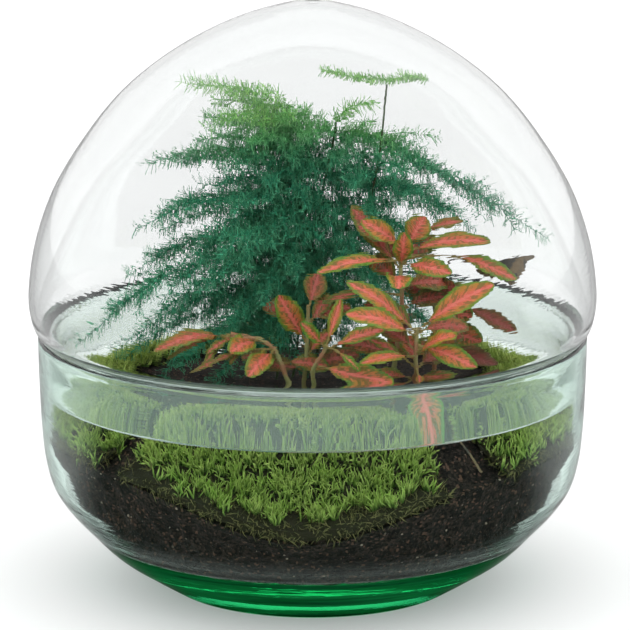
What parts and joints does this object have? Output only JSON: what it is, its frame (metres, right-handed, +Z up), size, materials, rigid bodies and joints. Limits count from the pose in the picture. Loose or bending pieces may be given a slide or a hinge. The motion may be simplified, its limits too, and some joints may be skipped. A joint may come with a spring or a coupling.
{
  "type": "glass plant terrarium",
  "caption": "Closed glass terrarium: a round footed bowl with a tall dome that plugs into its rim, planted with a feathery asparagus fern, red-leaved fittonia and moss on dark soil.",
  "frame": {"origin": "centre of the bowl's round foot, on the surface that it stands on", "axes": "+Z up along the axis of the bowl and the dome, -Y towards the side that the planting faces, +X to the right seen from there"},
  "size_m": [0.2882, 0.2882, 0.3],
  "materials": {
    "bowl_glass": "clear polished glass whose thick base looks deep green",
    "dome_glass": "thin clear polished glass",
    "potting_soil": "moist crumbly dark potting soil of peat and bark fibre with a few pale grains",
    "moss": "soft upright bright green blades, brown at the root",
    "fern_stem": "thin wiry dark green stems",
    "fern_needles": "fine matt blue-green needles, yellower at the top",
    "fittonia_stem": "soft green stems with a fine down",
    "fittonia_leaf": "satin coral-red blades with green flecks and a green margin",
    "dry_stalk": "dry brown stalk"
  },
  "bodies": {
    "root": {"dry_straw": "dry_stalk", "dry_twig": "dry_stalk", "fern_spray_back": "fern_needles", "fern_spray_back_left": "fern_needles", "fern_spray_back_right": "fern_needles", "fern_spray_crown": "fern_needles", "fern_spray_drooping": "fern_needles", "fern_spray_front": "fern_needles", "fern_spray_long_left": "fern_needles", "fern_spray_long_right": "fern_needles", "fern_spray_low_left": "fern_needles", "fern_spray_mid_left": "fern_needles", "fern_spray_top_left": "fern_needles", "fern_spray_top_middle": "fern_needles", "fern_spray_upper_left": "fern_needles", "fern_stem_left": "fern_stem", "fern_stem_middle": "fern_stem", "fern_stem_right": "fern_stem", "fittonia_leaf_back_1": "fittonia_leaf", "fittonia_leaf_back_2": "fittonia_leaf", "fittonia_leaf_back_3": "fittonia_leaf", "fittonia_leaf_back_4": "fittonia_leaf", "fittonia_leaf_back_5": "fittonia_leaf", "fittonia_leaf_creeping_1": "fittonia_leaf", "fittonia_leaf_creeping_2": "fittonia_leaf", "fittonia_leaf_creeping_3": "fittonia_leaf", "fittonia_leaf_left_1": "fittonia_leaf", "fittonia_leaf_left_2": "fittonia_leaf", "fittonia_leaf_left_3": "fittonia_leaf", "fittonia_leaf_left_4": "fittonia_leaf", "fittonia_leaf_middle_1": "fittonia_leaf", "fittonia_leaf_middle_2": "fittonia_leaf", "fittonia_leaf_right_1": "fittonia_leaf", "fittonia_leaf_right_2": "fittonia_leaf", "fittonia_leaf_right_3": "fittonia_leaf", "fittonia_leaf_right_4": "fittonia_leaf", "fittonia_leaf_right_5": "fittonia_leaf", "fittonia_leaf_right_6": "fittonia_leaf", "fittonia_leaf_right_7": "fittonia_leaf", "fittonia_leaf_top_1": "fittonia_leaf", "fittonia_leaf_top_2": "fittonia_leaf", "fittonia_leaf_top_3": "fittonia_leaf", "fittonia_leaf_top_4": "fittonia_leaf", "fittonia_leaf_top_5": "fittonia_leaf", "fittonia_leaf_top_6": "fittonia_leaf", "fittonia_leaf_top_7": "fittonia_leaf", "fittonia_leaf_top_8": "fittonia_leaf", "fittonia_leaf_top_9": "fittonia_leaf", "fittonia_stem_back": "fittonia_stem", "fittonia_stem_creeping": "fittonia_stem", "fittonia_stem_left": "fittonia_stem", "fittonia_stem_middle": "fittonia_stem", "fittonia_stem_right": "fittonia_stem", "fittonia_stem_top": "fittonia_stem", "glass_bowl": "bowl_glass", "glass_dome": "dome_glass", "moss_front": "moss", "moss_left": "moss", "moss_right": "moss", "potting_soil": "potting_soil"}
  },
  "joints": []
}
